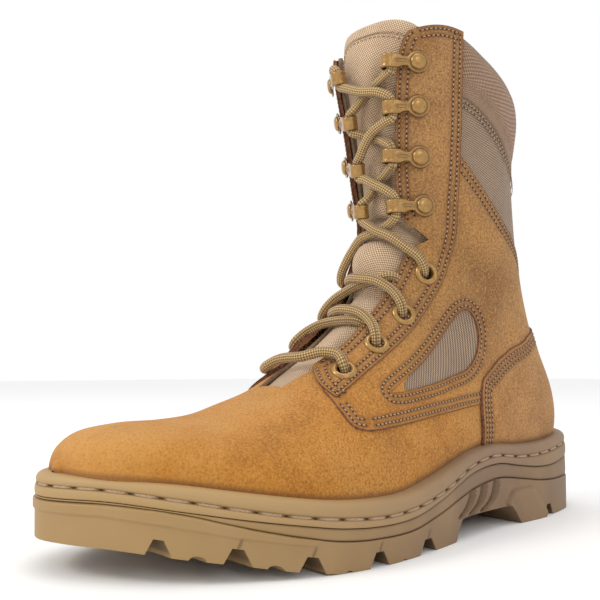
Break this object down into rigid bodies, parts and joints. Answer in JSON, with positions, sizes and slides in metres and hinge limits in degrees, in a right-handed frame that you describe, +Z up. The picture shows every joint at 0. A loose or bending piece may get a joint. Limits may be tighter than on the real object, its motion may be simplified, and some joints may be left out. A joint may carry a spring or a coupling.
{
  "type": "combat boot",
  "caption": "Left laced desert combat boot with a suede and nylon upper, padded tongue, eyelets and lace hooks, welted lug sole and a hollow inside open at the collar.",
  "frame": {"origin": "on the floor, below the middle of the boot's length and width", "axes": "+Z up, -Y towards the toe, +Y towards the heel, +X towards the outer side of the foot"},
  "size_m": [0.1214, 0.3098, 0.262],
  "materials": {
    "rubber": "moulded khaki rubber, matte with a slight sheen",
    "suede": "golden tan suede with a short nap",
    "nylon": "coarse woven nylon",
    "footbed": "felt footbed",
    "lace": "round braided lace with a darker fleck",
    "brass": "dull olive brass"
  },
  "bodies": {
    "root": {"outsole": "rubber", "midsole": "rubber", "welt": "rubber", "insole": "footbed", "upper": "suede", "heel_counter": "suede", "tongue": "nylon", "lace_bar": "lace", "lace_cross_1": "lace", "lace_cross_2": "lace", "lace_cross_3": "lace", "lace_cross_4": "lace", "lace_cross_5": "lace", "lace_cross_6": "lace", "lace_cross_7": "lace", "eyelet_lateral_1": "brass", "eyelet_lateral_2": "brass", "eyelet_lateral_3": "brass", "eyelet_lateral_4": "brass", "hook_lateral_1": "brass", "hook_lateral_2": "brass", "hook_lateral_3": "brass", "hook_lateral_4": "brass", "eyelet_medial_1": "brass", "eyelet_medial_2": "brass", "eyelet_medial_3": "brass", "eyelet_medial_4": "brass", "hook_medial_1": "brass", "hook_medial_2": "brass", "hook_medial_3": "brass", "hook_medial_4": "brass"}
  },
  "joints": []
}
